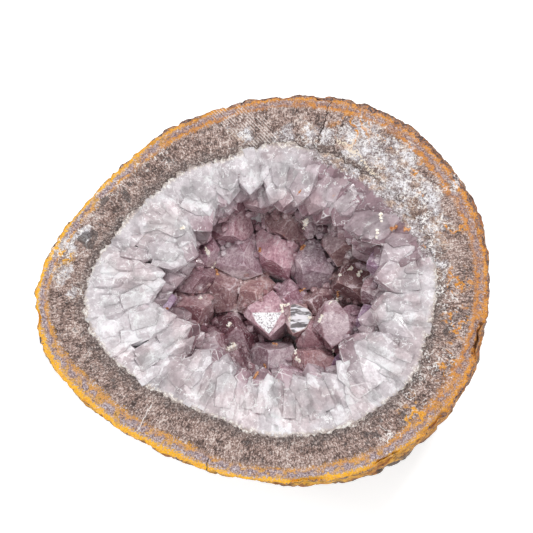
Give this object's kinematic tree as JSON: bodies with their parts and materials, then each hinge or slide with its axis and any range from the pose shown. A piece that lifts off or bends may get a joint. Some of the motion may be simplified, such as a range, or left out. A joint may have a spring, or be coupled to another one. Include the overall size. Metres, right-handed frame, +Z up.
{
  "type": "geode half",
  "caption": "Half of a small amethyst geode: sawn flat across a banded rock rind, lined with white quartz, with mauve crystal points in the hollow; rests on its rounded back.",
  "frame": {"origin": "middle of the small flat patch at the bottom of the rounded back, on the surface it rests on", "axes": "+Z up, out of the sawn face; +X along the longer width of the sawn face, towards its blunt end; +Y completes a right-handed frame"},
  "size_m": [0.1087, 0.0937, 0.044],
  "materials": {
    "rock": "sawn matt agate and basalt rind, brown-grey with ochre bands",
    "milky_quartz": "fine-grained translucent white quartz, sawn",
    "rim_quartz": "clear to milky quartz, glossy faces, sawn tops",
    "amethyst_pale": "pale pinkish amethyst, glossy",
    "amethyst_mauve": "mauve amethyst, glossy",
    "amethyst_dark": "dark mauve-brown amethyst, glossy"
  },
  "bodies": {
    "root": {"rock_shell": "rock", "quartz_lining": "milky_quartz", "rim_crystal_01": "rim_quartz", "rim_crystal_02": "rim_quartz", "rim_crystal_03": "rim_quartz", "rim_crystal_04": "rim_quartz", "rim_crystal_05": "rim_quartz", "rim_crystal_06": "rim_quartz", "rim_crystal_07": "rim_quartz", "rim_crystal_08": "rim_quartz", "rim_crystal_09": "rim_quartz", "rim_crystal_10": "rim_quartz", "rim_crystal_11": "rim_quartz", "rim_crystal_12": "rim_quartz", "rim_crystal_13": "rim_quartz", "rim_crystal_14": "rim_quartz", "rim_crystal_15": "rim_quartz", "rim_crystal_16": "rim_quartz", "rim_crystal_17": "rim_quartz", "rim_crystal_18": "rim_quartz", "rim_crystal_19": "rim_quartz", "rim_crystal_20": "rim_quartz", "amethyst_point_01": "amethyst_mauve", "amethyst_point_02": "amethyst_mauve", "amethyst_point_03": "amethyst_dark", "amethyst_point_04": "amethyst_dark", "amethyst_point_05": "amethyst_mauve", "amethyst_point_06": "amethyst_pale", "amethyst_point_07": "amethyst_mauve", "amethyst_point_08": "amethyst_pale", "amethyst_point_09": "amethyst_pale", "amethyst_point_10": "amethyst_dark", "amethyst_point_11": "amethyst_dark", "amethyst_point_12": "amethyst_mauve", "amethyst_point_13": "amethyst_mauve", "amethyst_point_14": "amethyst_mauve", "amethyst_point_15": "amethyst_pale", "amethyst_point_16": "amethyst_mauve", "amethyst_point_17": "amethyst_mauve", "amethyst_point_18": "amethyst_dark", "amethyst_point_19": "amethyst_dark", "amethyst_point_20": "amethyst_pale", "amethyst_point_21": "amethyst_mauve", "amethyst_point_22": "amethyst_dark", "amethyst_point_23": "amethyst_mauve", "amethyst_point_24": "amethyst_mauve", "amethyst_point_25": "amethyst_mauve", "amethyst_point_26": "amethyst_dark", "amethyst_point_27": "amethyst_dark", "amethyst_point_28": "amethyst_mauve", "amethyst_point_29": "amethyst_dark", "amethyst_point_30": "amethyst_mauve", "amethyst_point_31": "amethyst_mauve", "amethyst_point_32": "amethyst_mauve", "amethyst_point_33": "amethyst_pale", "amethyst_point_34": "amethyst_dark", "amethyst_point_35": "amethyst_mauve", "amethyst_point_36": "amethyst_mauve", "amethyst_point_37": "amethyst_mauve"}
  },
  "joints": []
}
